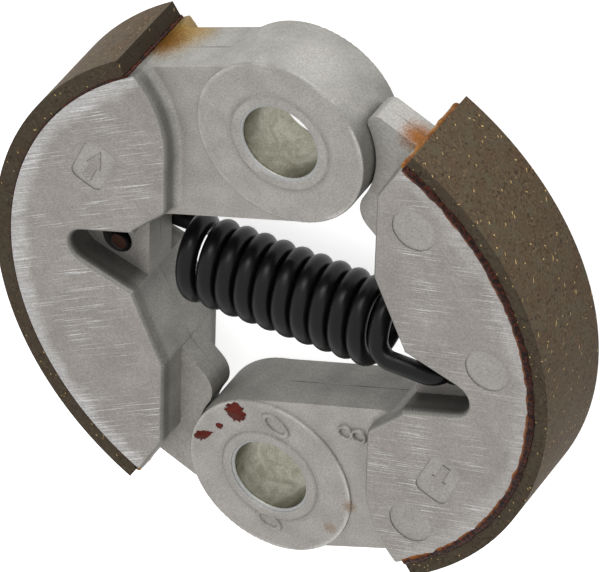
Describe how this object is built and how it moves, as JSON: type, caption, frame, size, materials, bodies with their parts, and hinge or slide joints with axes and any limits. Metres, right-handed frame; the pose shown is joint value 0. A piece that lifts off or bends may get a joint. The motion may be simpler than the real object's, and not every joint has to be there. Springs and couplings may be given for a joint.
{
  "type": "centrifugal clutch",
  "caption": "Centrifugal clutch for a small engine: cast shoes with bonded friction linings swing out on pivot bores against a hooked tension spring.",
  "frame": {"origin": "on the clutch axis, on the plane of the shoes' back faces, which it lies on", "axes": "+Z along the clutch axis to the front, +Y to the pivot of shoe a, +X to the pad of shoe b"},
  "size_m": [0.0766, 0.0758, 0.014],
  "materials": {
    "cast_aluminium": "die-cast, with ground and linished faces",
    "friction_lining": "moulded friction material with brass flecks",
    "bond_adhesive": "cured heat-set adhesive film",
    "black_spring_steel": "black oxide, oiled"
  },
  "bodies": {
    "spring": {"tension_spring": "black_spring_steel"},
    "shoe_a": {"shoe_a": "cast_aluminium", "bond_layer_a": "bond_adhesive", "lining_a": "friction_lining"},
    "shoe_b": {"shoe_b": "cast_aluminium", "bond_layer_b": "bond_adhesive", "lining_b": "friction_lining"}
  },
  "joints": [
    {"name": "shoe_a_swing", "type": "hinge", "parent": "spring", "child": "shoe_a", "pos_m": [0, 0.0265, 0.007], "axis": [0, 0, -1], "range_deg": [0, 1.5], "stiffness_Nm_per_rad": 8, "springref_deg": -5.73, "deforming": ["tension_spring"]},
    {"name": "shoe_b_swing", "type": "hinge", "parent": "spring", "child": "shoe_b", "pos_m": [0, -0.0265, 0.007], "axis": [0, 0, -1], "range_deg": [0, 1.5], "stiffness_Nm_per_rad": 8, "springref_deg": -5.73, "deforming": ["tension_spring"]}
  ]
}
